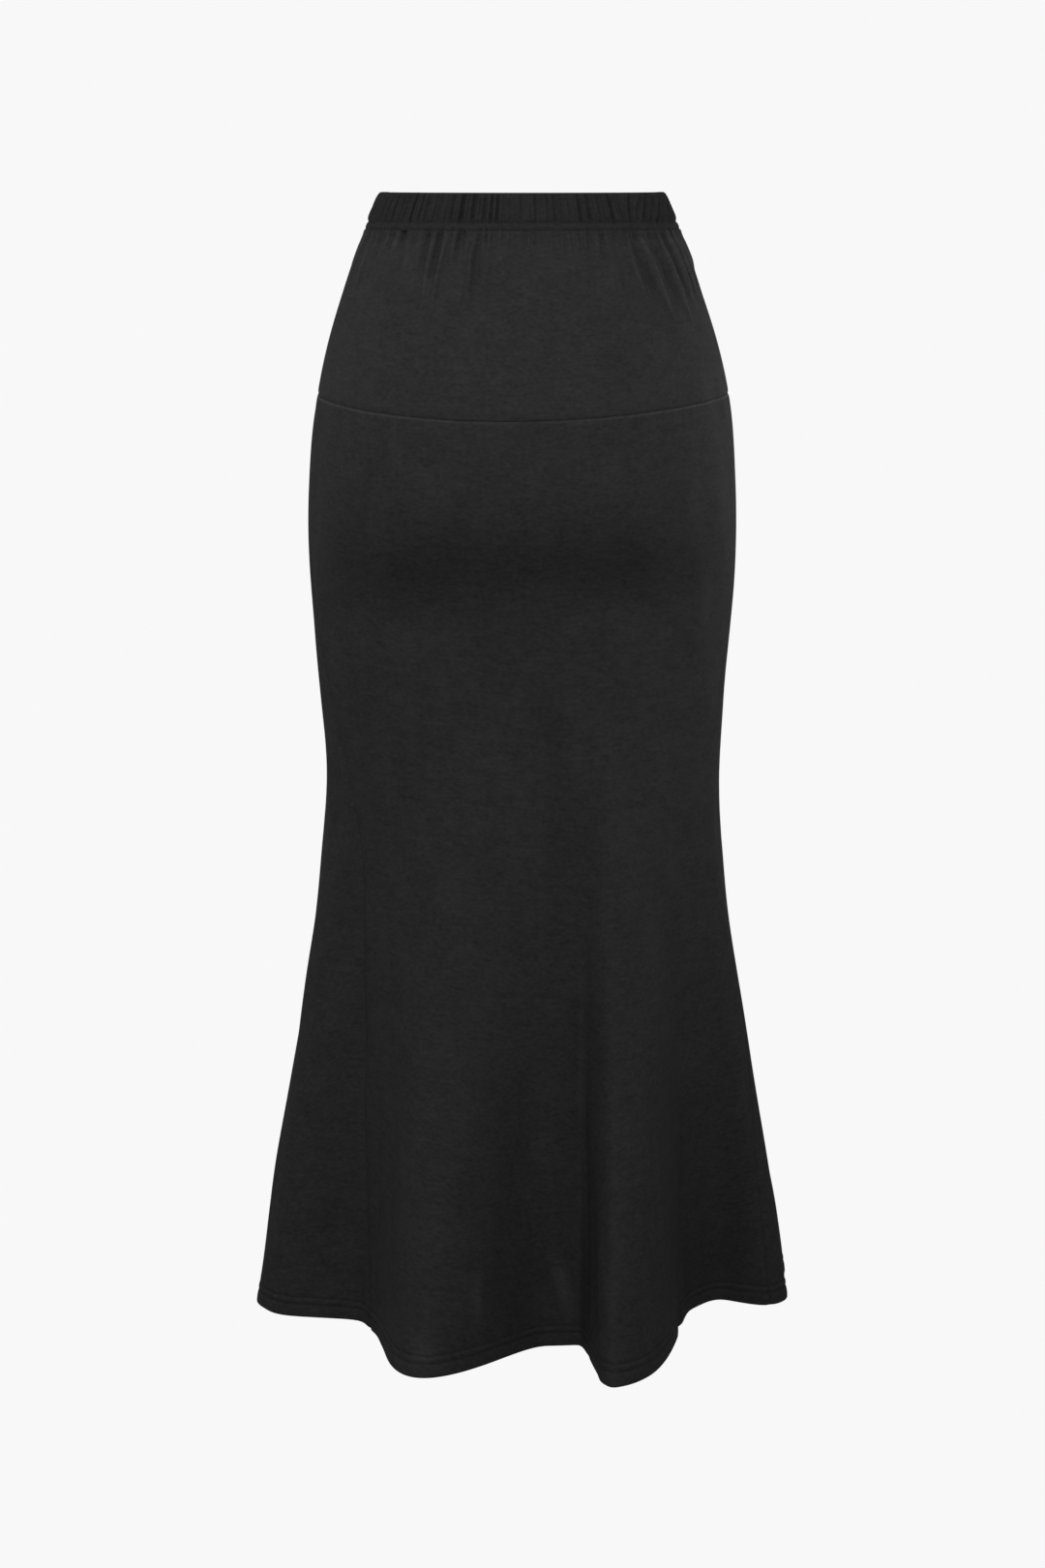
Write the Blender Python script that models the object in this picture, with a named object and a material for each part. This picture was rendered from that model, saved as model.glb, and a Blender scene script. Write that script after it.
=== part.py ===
"""Mermaid fishtail skirt in black jersey, filled out as if it were worn.

An elastic casing tops a two-piece yoke.  Below the yoke seam a back and a front
panel follow the hips, close in at the knee and open into a fluted hem.

Metres, +Z up.  The origin is the centre of the waist opening, halfway up the
casing.  The back of the skirt faces -Y and its right side faces +X.  Angles run
round the skirt from the centre back, through the right side, to the front.
"""

from collections import namedtuple

import bpy
import numpy as np

QUARTER = np.pi / 2
FULL_TURN = 2 * np.pi

# Heights
CASING_TOP = 0.015
CASING_BOTTOM = -0.015
YOKE_SEAM_AT_SIDES = -0.1475
YOKE_SEAM_DIP = 0.0145
YOKE_SEAM_DIP_CENTRE = np.radians(-5.0)
HEM = -0.926
TURNED_HEM = 0.018
FRONT_WAIST_DROP = 0.005

# Cloth
JERSEY = 0.0012
DOUBLED_JERSEY = 0.0024
CASING_WALL = 0.0030
SEAM_GAP = 0.0003

# Gathers, for each half of the waist.  The lowest gathers stand this share of the
# highest, and those right of the centre back are flattened by a further share.
CASING_GATHERS = 38
CASING_GATHER_HEIGHT = 0.0017
YOKE_GATHERS = 19
YOKE_GATHER_HEIGHT = 0.0015
YOKE_GATHER_LENGTH = 0.050
LOWEST_GATHER = 0.45
FLATTENED_BY = 0.5
FLATTEST_GATHERS = np.radians(10.0)
FLAT_STRETCH = np.radians(22.0)

# Slow waves round the waist that crowd the gathers here and part them there
SPACING_UNEVENNESS = 0.005
SPACING_WAVES = (3, 7)

# The two halves of the waist, and the seeds of their gathers' uneven heights
Half = namedtuple("Half", "name start end casing_seed yoke_seed")
HALVES = (
    Half("back", -QUARTER, QUARTER, 3, 11),
    Half("front", QUARTER, 3 * QUARTER, 5, 13),
)

# The panels' grain turns from the yoke's evenness to the hem's over this stretch.
GRAIN_TURNS_FROM = -0.34
GRAIN_TURNS_OVER = 0.30

# The hem's turning, as a share of the way down a panel
TURNING_SHARE = 1 - TURNED_HEM / (YOKE_SEAM_AT_SIDES - HEM)
TURNING_STEP = 0.001

# Mesh density.  The yoke's rows crowd towards its gathered top by a power.
COLUMNS_PER_GATHER = 4
YOKE_ROWS = 7
YOKE_CROWDING = 1.3
PANEL_ROWS = 15
BACK_PANEL_COLUMNS = 56
FRONT_PANEL_COLUMNS = 46
SHARP_EDGE = np.radians(60.0)

# Samples of a ring's length, and the small angle over which its direction is read
RING_SAMPLES = 721
SMALL_ANGLE = 1e-4

# The skirt's rings.  corner swells a ring between its sides and its middles.
Ring = namedtuple("Ring", "name z half_width back_depth front_depth corner")
RINGS = (
    Ring("waist_edge", 0.015, 0.1170, 0.088, 0.086, 0.010),
    Ring("casing_foot", -0.015, 0.1295, 0.098, 0.094, 0.012),
    Ring("high_waist", -0.060, 0.1455, 0.111, 0.104, 0.016),
    Ring("high_hip", -0.110, 0.1605, 0.122, 0.110, 0.022),
    Ring("yoke_seam", -0.160, 0.1710, 0.131, 0.113, 0.028),
    Ring("full_hip", -0.225, 0.1760, 0.1362, 0.113, 0.032),
    Ring("seat_foot", -0.258, 0.1766, 0.1322, 0.112, 0.031),
    Ring("under_seat", -0.295, 0.1760, 0.1195, 0.109, 0.029),
    Ring("thigh", -0.345, 0.1729, 0.1122, 0.106, 0.026),
    Ring("low_thigh", -0.400, 0.1687, 0.1118, 0.102, 0.022),
    Ring("knee", -0.470, 0.1650, 0.1145, 0.100, 0.018),
    Ring("flare_start", -0.540, 0.1693, 0.1160, 0.101, 0.014),
    Ring("upper_flare", -0.640, 0.1830, 0.1175, 0.107, 0.008),
    Ring("lower_flare", -0.780, 0.2064, 0.1215, 0.119, 0.000),
    Ring("hem", HEM, 0.2290, 0.126, 0.130, 0.000),
)

# The flutes of the flare.  Each is a ridge, or a hollow where push is negative,
# centred on an angle in degrees and fading out over a width to its left and to
# its right.  push moves the hem outwards and lean moves it round the skirt.
Flute = namedtuple("Flute", "name centre left right push lean start")
FLUTES = (
    Flute("back_left_hollow", -44, 29, 16, -0.033, 0.003, -0.46),
    Flute("back_left_ridge", -14.5, 20, 20, 0.083, -0.014, -0.42),
    Flute("back_right_ridge", 20, 8.8, 21, 0.101, -0.025, -0.42),
    Flute("back_right_hollow", 43, 17, 32, -0.054, 0.018, -0.46),
    Flute("right_side_hollow", 58, 21, 31, -0.024, 0.014, -0.46),
    Flute("front_right_ridge", 122, 22, 24, 0.046, 0.006, -0.44),
    Flute("front_right_hollow", 149, 16, 14, -0.020, 0.000, -0.50),
    Flute("front_middle_ridge", 172, 20, 20, 0.060, -0.012, -0.42),
    Flute("front_left_ridge", 226, 20, 22, 0.062, 0.008, -0.43),
    Flute("left_side_hollow", 254, 18, 16, -0.016, 0.000, -0.50),
)
FLUTE_GROWTH = 1.4

# Where the two side seams of the panels run: the knit's twist carries the left
# seam towards the back, and the flare brings the right seam round with it.
SeamPoint = namedtuple("SeamPoint", "z left right")
SIDE_SEAMS = (
    SeamPoint(-0.160, -90, 90),
    SeamPoint(-0.300, -80, 90),
    SeamPoint(-0.400, -67, 90),
    SeamPoint(-0.500, -54, 90),
    SeamPoint(-0.620, -49, 88),
    SeamPoint(-0.760, -44, 79),
    SeamPoint(HEM, -37, 74),
)

# The casing's outer face, from its rolled top edge to its stitched foot.
CasingRow = namedtuple("CasingRow", "name z outward gathered")
CASING_ROWS = (
    CasingRow("rolled_edge", CASING_TOP, -0.0006, 0.6),
    CasingRow("elastic_top", 0.0115, 0.0004, 1.0),
    CasingRow("upper_stitching", -0.0085, 0.0002, 0.9),
    CasingRow("foot", CASING_BOTTOM, 0.0000, 0.5),
)

Finish = namedtuple("Finish", "name colour roughness")
CASING_FINISH = Finish("casing_jersey", (0.026, 0.026, 0.028, 1.0), 0.82)
YOKE_FINISH = Finish("yoke_jersey", (0.030, 0.030, 0.032, 1.0), 0.80)
PANEL_FINISH = Finish("panel_jersey", (0.028, 0.028, 0.030, 1.0), 0.80)


def column(rows, field):
    """One named column of a table, as an array."""
    return np.array([getattr(row, field) for row in rows], float)


def through(z, rows, field):
    """A smooth curve through a table's column, as cubic pieces that share slopes."""
    heights = column(rows, "z")[::-1]
    values = column(rows, field)[::-1]
    slopes = np.gradient(values, heights)
    low = np.clip(np.searchsorted(heights, z) - 1, 0, len(heights) - 2)
    span = heights[low + 1] - heights[low]
    t = np.clip((z - heights[low]) / span, 0.0, 1.0)
    return (
        (2 * t**3 - 3 * t**2 + 1) * values[low]
        + (t**3 - 2 * t**2 + t) * span * slopes[low]
        + (3 * t**2 - 2 * t**3) * values[low + 1]
        + (t**3 - t**2) * span * slopes[low + 1]
    )


def hem_angle(z, angle):
    """Where on the hem the cloth at a point hangs down to: folds fall plumb.

    A fold keeps its place across the skirt while the rings widen round it, so its
    angle shrinks on the way down, most of all halfway between a middle and a side.
    """
    narrower = 1 - through(z, RINGS, "half_width") / RINGS[-1].half_width
    return angle - narrower * np.sin(2 * angle) / 2


def flute_share(flute, z, angle):
    """How much of a flute is felt: a raised cosine across it, growing to the hem."""
    turned = (np.degrees(hem_angle(z, angle)) - flute.centre + 180.0) % 360.0 - 180.0
    across = np.clip(turned / np.where(turned < 0, flute.left, flute.right), -1.0, 1.0)
    down = np.clip((flute.start - z) / (flute.start - HEM), 0.0, 1.0)
    return (0.5 + 0.5 * np.cos(np.pi * across)) * down**FLUTE_GROWTH


def outline(z, angle):
    """The cloth's plan at a height: an ellipse with its flutes pushed out or in."""
    z, angle = np.broadcast_arrays(z, angle)
    half_width = through(z, RINGS, "half_width")
    depth = np.where(
        np.cos(angle) > 0,
        through(z, RINGS, "back_depth"),
        through(z, RINGS, "front_depth"),
    )
    swell = 1 + through(z, RINGS, "corner") * (1 - np.cos(4 * angle)) / 2
    x = half_width * swell * np.sin(angle)
    y = -depth * swell * np.cos(angle)
    out_x = depth * np.sin(angle)
    out_y = -half_width * np.cos(angle)
    size = np.hypot(out_x, out_y)
    out_x, out_y = out_x / size, out_y / size
    for flute in FLUTES:
        share = flute_share(flute, z, angle)
        x = x + share * (flute.push * out_x - flute.lean * out_y)
        y = y + share * (flute.push * out_y + flute.lean * out_x)
    return x, y


def way_round(z, angle):
    """The direction of the outline as the angle grows, with its length."""
    x_before, y_before = outline(z, angle - SMALL_ANGLE)
    x_after, y_after = outline(z, angle + SMALL_ANGLE)
    turned = 2 * SMALL_ANGLE
    return (x_after - x_before) / turned, (y_after - y_before) / turned


def moved_out(z, angle, distance):
    """Points on the outline, moved level and square to the cloth."""
    x, y = outline(z, angle)
    along_x, along_y = way_round(z, angle)
    speed = np.hypot(along_x, along_y)
    return np.stack(
        [x + distance * along_y / speed, y - distance * along_x / speed, z + 0 * x],
        axis=-1,
    )


def spread(z, start, end, shares):
    """Angles at shares of the way from start to end, measured along the cloth."""
    fine = np.linspace(start, end, RING_SAMPLES)
    x, y = outline(np.full_like(fine, z), fine)
    walked = np.concatenate(([0.0], np.cumsum(np.hypot(np.diff(x), np.diff(y)))))
    return np.interp(np.asarray(shares) * walked[-1], walked, fine)


def with_seam_gaps(z, angle):
    """The same angles with the first and last columns drawn in by half a gap."""
    trimmed = angle.copy()
    for edge, inward in ((0, 1), (-1, -1)):
        speed = np.hypot(*way_round(z[:, edge], angle[:, edge]))
        trimmed[:, edge] += inward * SEAM_GAP / 2 / speed
    return trimmed


def waist_drop(angle):
    """The waist dips a little towards the centre front."""
    return FRONT_WAIST_DROP * np.clip(-np.cos(angle), 0.0, 1.0) ** 2


def yoke_seam(angle):
    """The yoke's lower seam dips at the centre back and the centre front."""
    dip = np.cos(angle - YOKE_SEAM_DIP_CENTRE) ** 2
    return YOKE_SEAM_AT_SIDES - YOKE_SEAM_DIP * dip


def gather_heights(angle, count, seed):
    """One height for each gather: uneven, and flatter right of the centre back."""
    uneven = np.random.default_rng(seed).uniform(LOWEST_GATHER, 1.0, count)
    places = np.linspace(angle[0], angle[-1], count)
    flatter = np.exp(-(((places - FLATTEST_GATHERS) / FLAT_STRETCH) ** 2))
    return uneven * (1.0 - FLATTENED_BY * flatter)


def gather_columns(z, half, count, seed):
    """Angles of a gathered edge's columns, and how high its gathers stand there.

    Each gather is one cosine wave that starts and ends in a valley, and slow
    sine waves, still at both ends, make the spacing of the gathers uneven.
    """
    shares = np.linspace(0.0, 1.0, count * COLUMNS_PER_GATHER + 1)
    slow, quick = SPACING_WAVES
    drift = np.sin(FULL_TURN * slow * shares + seed) + np.sin(FULL_TURN * quick * shares)
    drift = SPACING_UNEVENNESS * drift * np.sin(np.pi * shares)
    angle = spread(z, half.start, half.end, shares + drift)
    gather = np.minimum((shares * count).astype(int), count - 1)
    wave = (1 - np.cos(FULL_TURN * shares * count)) / 2
    return angle, wave * gather_heights(angle, count, seed)[gather]


def casing_grids(half):
    """The casing's outer face, gathered, over the plain face of its elastic."""
    angle, standing = gather_columns(0.0, half, CASING_GATHERS, half.casing_seed)
    heights = column(CASING_ROWS, "z")[:, None] - waist_drop(angle)[None, :]
    angle = with_seam_gaps(heights, np.tile(angle, (len(CASING_ROWS), 1)))
    outward = column(CASING_ROWS, "outward")[:, None]
    gathered = column(CASING_ROWS, "gathered")[:, None]
    outer = moved_out(
        heights, angle, outward + CASING_GATHER_HEIGHT * gathered * standing[None, :]
    )
    return outer, moved_out(heights, angle, outward - CASING_WALL)


def yoke_grids(half):
    """The yoke, from the casing's foot to its lower seam, with gathers that fade."""
    angle, standing = gather_columns(CASING_BOTTOM, half, YOKE_GATHERS, half.yoke_seed)
    shares = (np.linspace(0.0, 1.0, YOKE_ROWS) ** YOKE_CROWDING)[:, None]
    top = CASING_BOTTOM - SEAM_GAP - waist_drop(angle)
    heights = top * (1 - shares) + yoke_seam(angle) * shares
    fading = np.exp(-(((top - heights) / YOKE_GATHER_LENGTH) ** 2)) * (1 - shares)
    angle = with_seam_gaps(heights, np.tile(angle, (YOKE_ROWS, 1)))
    outward = YOKE_GATHER_HEIGHT * fading * standing[None, :]
    return (
        moved_out(heights, angle, outward),
        moved_out(heights, angle, outward - JERSEY),
    )


def panel_shares():
    """The panels' rows: even as far as the turned-up hem, then the hem's own."""
    above = np.linspace(0.0, TURNING_SHARE, PANEL_ROWS)
    return np.concatenate([above, [TURNING_SHARE + TURNING_STEP, 1.0]])


def panel_heights(shares):
    """Heights at shares of the way down a panel's side."""
    return YOKE_SEAM_AT_SIDES + (HEM - YOKE_SEAM_AT_SIDES) * shares


def side_seam(shares, side):
    """The angle of the left or the right side seam at shares of the way down."""
    return np.radians(through(panel_heights(shares), SIDE_SEAMS, side))


def even_shares(z, start, end, columns):
    """How far round from start to end each column stands, if all are as wide."""
    angle = spread(z, start, end, np.linspace(0.0, 1.0, columns + 1))
    return (angle - start) / (end - start)


def panel_grids(start, end, shares, columns):
    """A panel, from the yoke seam to the hem, cut in one with its flare.

    Its columns are even along the yoke seam at the top and even along the
    fluted hem below the knee, so that they follow the cloth's own grain.
    """
    at_top = even_shares(YOKE_SEAM_AT_SIDES, start[0], end[0], columns)
    at_hem = even_shares(HEM, start[-1], end[-1], columns)
    down = (GRAIN_TURNS_FROM - panel_heights(shares)) / GRAIN_TURNS_OVER
    down = np.clip(down, 0.0, 1.0)
    turned = (down**2 * (3 - 2 * down))[:, None]
    across = at_top * (1 - turned) + at_hem * turned
    angle = start[:, None] + (end - start)[:, None] * across
    heights = yoke_seam(angle) - SEAM_GAP
    heights = heights + (HEM - heights) * shares[:, None]
    angle = with_seam_gaps(heights, angle)
    wall = np.where(shares > TURNING_SHARE, DOUBLED_JERSEY, JERSEY)[:, None]
    return moved_out(heights, angle, 0.0), moved_out(heights, angle, -wall)


def rim_faces(grid, offset):
    """Quads that close the wall's four edges, from its outer to its inner face.

    Both side edges list their corners so that each quad splits from the outer
    lower corner to the inner upper one: the two walls at a seam then match.
    """
    left_low, left_high = grid[1:, 0], grid[:-1, 0]
    right_low, right_high = grid[1:, -1], grid[:-1, -1]
    top, bottom = grid[0], grid[-1]
    strips = (
        (left_low, left_high, left_high + offset, left_low + offset),
        (right_low, right_low + offset, right_high + offset, right_high),
        (top[:-1], top[1:], top[1:] + offset, top[:-1] + offset),
        (bottom[1:], bottom[:-1], bottom[:-1] + offset, bottom[1:] + offset),
    )
    return np.concatenate([np.stack(strip, axis=1) for strip in strips])


def wall_mesh(name, outer, inner):
    """A closed wall between two grids of points with the same rows and columns."""
    rows, columns = outer.shape[:2]
    offset = rows * columns
    grid = np.arange(offset).reshape(rows, columns)
    outside = np.stack(
        [grid[:-1, :-1], grid[1:, :-1], grid[1:, 1:], grid[:-1, 1:]], axis=-1
    ).reshape(-1, 4)
    inside = outside[:, ::-1] + offset
    faces = np.concatenate([outside, inside, rim_faces(grid, offset)])
    points = np.concatenate([outer.reshape(-1, 3), inner.reshape(-1, 3)])
    mesh = bpy.data.meshes.new(name)
    mesh.from_pydata(points.tolist(), [], faces.tolist())
    mesh.shade_smooth()
    mesh.set_sharp_from_angle(angle=SHARP_EDGE)
    return mesh


def material(finish):
    """A matt black jersey."""
    made = bpy.data.materials.new(finish.name)
    made.use_nodes = True
    shader = made.node_tree.nodes["Principled BSDF"]
    shader.inputs["Base Color"].default_value = finish.colour
    shader.inputs["Roughness"].default_value = finish.roughness
    shader.inputs["Metallic"].default_value = 0.0
    return made


def add_piece(name, grids, cloth, collection, parent):
    """One cut piece of the skirt, as its own object."""
    mesh = wall_mesh(name, *grids)
    mesh.materials.append(cloth)
    piece = bpy.data.objects.new(name, mesh)
    piece.parent = parent
    collection.objects.link(piece)


def clear_scene():
    """Removes what the file holds at the start."""
    for old in list(bpy.data.objects):
        bpy.data.objects.remove(old, do_unlink=True)


def build_skirt():
    """The six pieces: a back and a front of the casing, the yoke and the panels."""
    clear_scene()
    skirt = bpy.data.collections.new("mermaid_fishtail_skirt")
    bpy.context.scene.collection.children.link(skirt)
    waist = bpy.data.objects.new("waist_centre", None)
    skirt.objects.link(waist)

    casing = material(CASING_FINISH)
    yoke = material(YOKE_FINISH)
    for half in HALVES:
        add_piece("casing_" + half.name, casing_grids(half), casing, skirt, waist)
        add_piece("yoke_" + half.name, yoke_grids(half), yoke, skirt, waist)

    panel = material(PANEL_FINISH)
    shares = panel_shares()
    left = side_seam(shares, "left")
    right = side_seam(shares, "right")
    back_panel = panel_grids(left, right, shares, BACK_PANEL_COLUMNS)
    add_piece("panel_back", back_panel, panel, skirt, waist)
    front_panel = panel_grids(right, left + FULL_TURN, shares, FRONT_PANEL_COLUMNS)
    add_piece("panel_front", front_panel, panel, skirt, waist)


build_skirt()
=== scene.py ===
"""Looks of the mermaid fishtail skirt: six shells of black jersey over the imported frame.

Each shell stands for one solid and follows the same rings, flutes and seams.  It adds
what the solid leaves out: uneven gathers, soft folds, rounded edges drawn in by their
seams, topstitching at the casing and the hem, and the knit itself.

Metres, +Z up.  Angles run round the skirt from the centre back (-Y), through the right
side (+X), to the front.
"""

from collections import namedtuple

import bpy
import numpy as np
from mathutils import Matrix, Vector


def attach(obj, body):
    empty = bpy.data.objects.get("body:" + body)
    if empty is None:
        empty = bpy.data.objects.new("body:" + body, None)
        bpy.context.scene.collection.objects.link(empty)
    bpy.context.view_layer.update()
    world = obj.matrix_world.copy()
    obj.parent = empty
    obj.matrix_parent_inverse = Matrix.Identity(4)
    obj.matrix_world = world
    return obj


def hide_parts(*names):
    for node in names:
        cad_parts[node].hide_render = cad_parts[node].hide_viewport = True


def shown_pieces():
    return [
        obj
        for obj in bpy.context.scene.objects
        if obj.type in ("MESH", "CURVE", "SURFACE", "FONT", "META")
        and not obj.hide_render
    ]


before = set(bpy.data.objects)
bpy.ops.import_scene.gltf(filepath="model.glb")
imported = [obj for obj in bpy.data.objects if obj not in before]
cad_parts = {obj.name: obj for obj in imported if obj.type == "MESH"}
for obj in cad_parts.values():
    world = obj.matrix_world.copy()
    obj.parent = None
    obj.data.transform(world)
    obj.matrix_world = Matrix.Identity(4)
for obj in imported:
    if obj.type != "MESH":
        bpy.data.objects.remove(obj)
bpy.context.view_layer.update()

QUARTER = np.pi / 2
FULL_TURN = 2 * np.pi

# ------------------------ the skirt's form
# Heights, from halfway up the casing, and how far the seams dip and the hem is turned
CASING_TOP = 0.015
CASING_BOTTOM = -0.015
YOKE_SEAM_AT_SIDES = -0.1475
YOKE_SEAM_DIP = 0.0145
YOKE_SEAM_DIP_CENTRE = np.radians(-5.0)
HEM = -0.926
TURNED_HEM = 0.018
FRONT_WAIST_DROP = 0.005

# How thick the cloth is, and over what height the turned hem's upper edge thins out
JERSEY = 0.0012
DOUBLED_JERSEY = 2 * JERSEY
CASING_WALL = 0.0030
HEM_STEP = 0.0012

# The radii that the cloth's edges are rounded to, and how much of the quarter circle is
# kept, so that the two faces never meet in a knife edge
ROLLED_EDGE = CASING_WALL / 2
SEWN_ON_EDGE = JERSEY / 3
SEAM_EDGE = JERSEY / 2
HEM_EDGE = DOUBLED_JERSEY / 2
EDGE_SHARE = 0.97

# Over this stretch of heights the panels' columns turn from even at the yoke's seam to
# even at the hem.
GRAIN_TURNS_FROM = -0.34
GRAIN_TURNS_OVER = 0.30

# Samples of a ring's length, and the small angle over which its direction is read
RING_SAMPLES = 1441
SMALL_ANGLE = 1e-4

# The skirt's rings.  corner swells a ring between its sides and its middles.
Ring = namedtuple("Ring", "name z half_width back_depth front_depth corner")
RINGS = (
    Ring("waist_edge", 0.015, 0.1170, 0.088, 0.086, 0.010),
    Ring("casing_foot", -0.015, 0.1295, 0.098, 0.094, 0.012),
    Ring("high_waist", -0.060, 0.1455, 0.111, 0.104, 0.016),
    Ring("high_hip", -0.110, 0.1605, 0.122, 0.110, 0.022),
    Ring("yoke_seam", -0.160, 0.1710, 0.131, 0.113, 0.028),
    Ring("full_hip", -0.225, 0.1760, 0.1362, 0.113, 0.032),
    Ring("seat_foot", -0.258, 0.1766, 0.1322, 0.112, 0.031),
    Ring("under_seat", -0.295, 0.1760, 0.1195, 0.109, 0.029),
    Ring("thigh", -0.345, 0.1729, 0.1122, 0.106, 0.026),
    Ring("low_thigh", -0.400, 0.1687, 0.1118, 0.102, 0.022),
    Ring("knee", -0.470, 0.1650, 0.1145, 0.100, 0.018),
    Ring("flare_start", -0.540, 0.1693, 0.1160, 0.101, 0.014),
    Ring("upper_flare", -0.640, 0.1830, 0.1175, 0.107, 0.008),
    Ring("lower_flare", -0.780, 0.2064, 0.1215, 0.119, 0.000),
    Ring("hem", HEM, 0.2290, 0.126, 0.130, 0.000),
)

# The flutes of the flare.  Each is a ridge, or a hollow where push is negative,
# centred on an angle in degrees and fading out over a width to its left and to
# its right.  push moves the hem outwards and lean moves it round the skirt.  From its
# start down, a flute grows with a power of the way to the hem.
Flute = namedtuple("Flute", "name centre left right push lean start")
FLUTES = (
    Flute("back_left_hollow", -44, 29, 16, -0.033, 0.003, -0.46),
    Flute("back_left_ridge", -14.5, 20, 20, 0.083, -0.014, -0.42),
    Flute("back_right_ridge", 20, 8.8, 21, 0.101, -0.025, -0.42),
    Flute("back_right_hollow", 43, 17, 32, -0.054, 0.018, -0.46),
    Flute("right_side_hollow", 58, 21, 31, -0.024, 0.014, -0.46),
    Flute("front_right_ridge", 122, 22, 24, 0.046, 0.006, -0.44),
    Flute("front_right_hollow", 149, 16, 14, -0.020, 0.000, -0.50),
    Flute("front_middle_ridge", 172, 20, 20, 0.060, -0.012, -0.42),
    Flute("front_left_ridge", 226, 20, 22, 0.062, 0.008, -0.43),
    Flute("left_side_hollow", 254, 18, 16, -0.016, 0.000, -0.50),
)
FLUTE_GROWTH = 1.4

# Where the two side seams of the panels run, in degrees
SeamPoint = namedtuple("SeamPoint", "z left right")
SIDE_SEAMS = (
    SeamPoint(-0.160, -90, 90),
    SeamPoint(-0.300, -80, 90),
    SeamPoint(-0.400, -67, 90),
    SeamPoint(-0.500, -54, 90),
    SeamPoint(-0.620, -49, 88),
    SeamPoint(-0.760, -44, 79),
    SeamPoint(HEM, -37, 74),
)

# ------------------------ the cloth's relief
# The casing's outer face: how far it stands out, and how much its gathers show.  The
# inner face follows only a share of that relief.
CasingRow = namedtuple("CasingRow", "name z outward gathered")
CASING_ROWS = (
    CasingRow("rolled_edge", 0.0150, -0.0004, 0.50),
    CasingRow("elastic_top", 0.0120, 0.0006, 0.90),
    CasingRow("elastic_middle", 0.0030, 0.0010, 1.00),
    CasingRow("elastic_foot", -0.0055, 0.0009, 1.00),
    CasingRow("upper_stitching", -0.0085, -0.0003, 0.46),
    CasingRow("stitched_band", -0.0114, 0.0000, 0.32),
    CasingRow("lower_stitching", -0.0143, 0.0000, 0.32),
    CasingRow("foot", -0.0150, 0.0000, 0.32),
)
CASING_INNER_SHARE = 0.5

# Gather ridges across the back of the casing and just below it, in degrees
CASING_RIDGES = (
    -88, -83, -78, -73, -68, -63.5, -58.5, -54, -50, -46.5, -43.5, -39.5, -36, -30.5,
    -25, -21, -16, -12.5, -10.5, -8, -5, -2.5, 3, 8, 11, 13.5, 16, 20, 23, 28, 33,
    36.5, 42, 46.5, 51, 56, 62, 66.5, 71.5, 77, 83, 88,
)
YOKE_RIDGES = (
    -88, -82, -75, -69, -62, -55.5, -49.5, -42, -38, -32, -27.5, -24, -20, -17, -13.5,
    -11.5, -8, -5.5, -0.5, 2.5, 8, 13.5, 16, 19, 21, 26.5, 30.5, 36.5, 40, 47, 52,
    57.5, 63, 68, 74, 79, 84, 89,
)

# The ridges of the front, and a finer gather all round, lie at uneven gaps, between
# these shares of the mean.  Each draw has its own seed.
GAP_SPREAD = (0.6, 1.4)
FINE_RIDGES = 196
CASING_SEED = 5
YOKE_SEED = 13
FINE_PUCKER_SEED = 17
FINE_GATHER_SEED = 19

# How high the casing's gathers are, and by what share they are deeper at the sides
GATHER_HEIGHT = 0.0031
FINE_GATHER_HEIGHT = 0.0017
DEEPER_AT_SIDES = 0.9

# The yoke's puckers: how high, and how long to where they have fallen to a third.  At
# the seam they have only a share of that height, and this far below it they are whole.
PUCKER_HEIGHT = 0.0032
PUCKER_LENGTH = 0.017
FINE_PUCKER_HEIGHT = 0.0026
FINE_PUCKER_LENGTH = 0.0090
PUCKER_AT_SEAM = 0.4
PUCKER_GROWTH = 0.0060

# The form of a gather: how narrow its valley is, the share of its depth and of its
# height that the slightest one has, and where the gathers are flatter, and by how much
VALLEY_SHARPNESS = 3.6
SHALLOWEST_VALLEY = 0.45
LOWEST_CREST = 0.75
FLATTENED_BY = 0.4
FLATTEST_GATHERS = np.radians(10.0)
FLAT_STRETCH = np.radians(20.0)

# How the casing's gathers lean, in degrees round for each metre up from the level where
# they are placed, at angles round the skirt in degrees
LEAN_ANGLES = (-90, -20, 40, 52, 75, 95, 140, 180, 230, 270)
LEANS = (0, 0, 0, 460, 460, 160, -220, 180, -160, 0)
LEAN_LEVEL = 0.003

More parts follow.
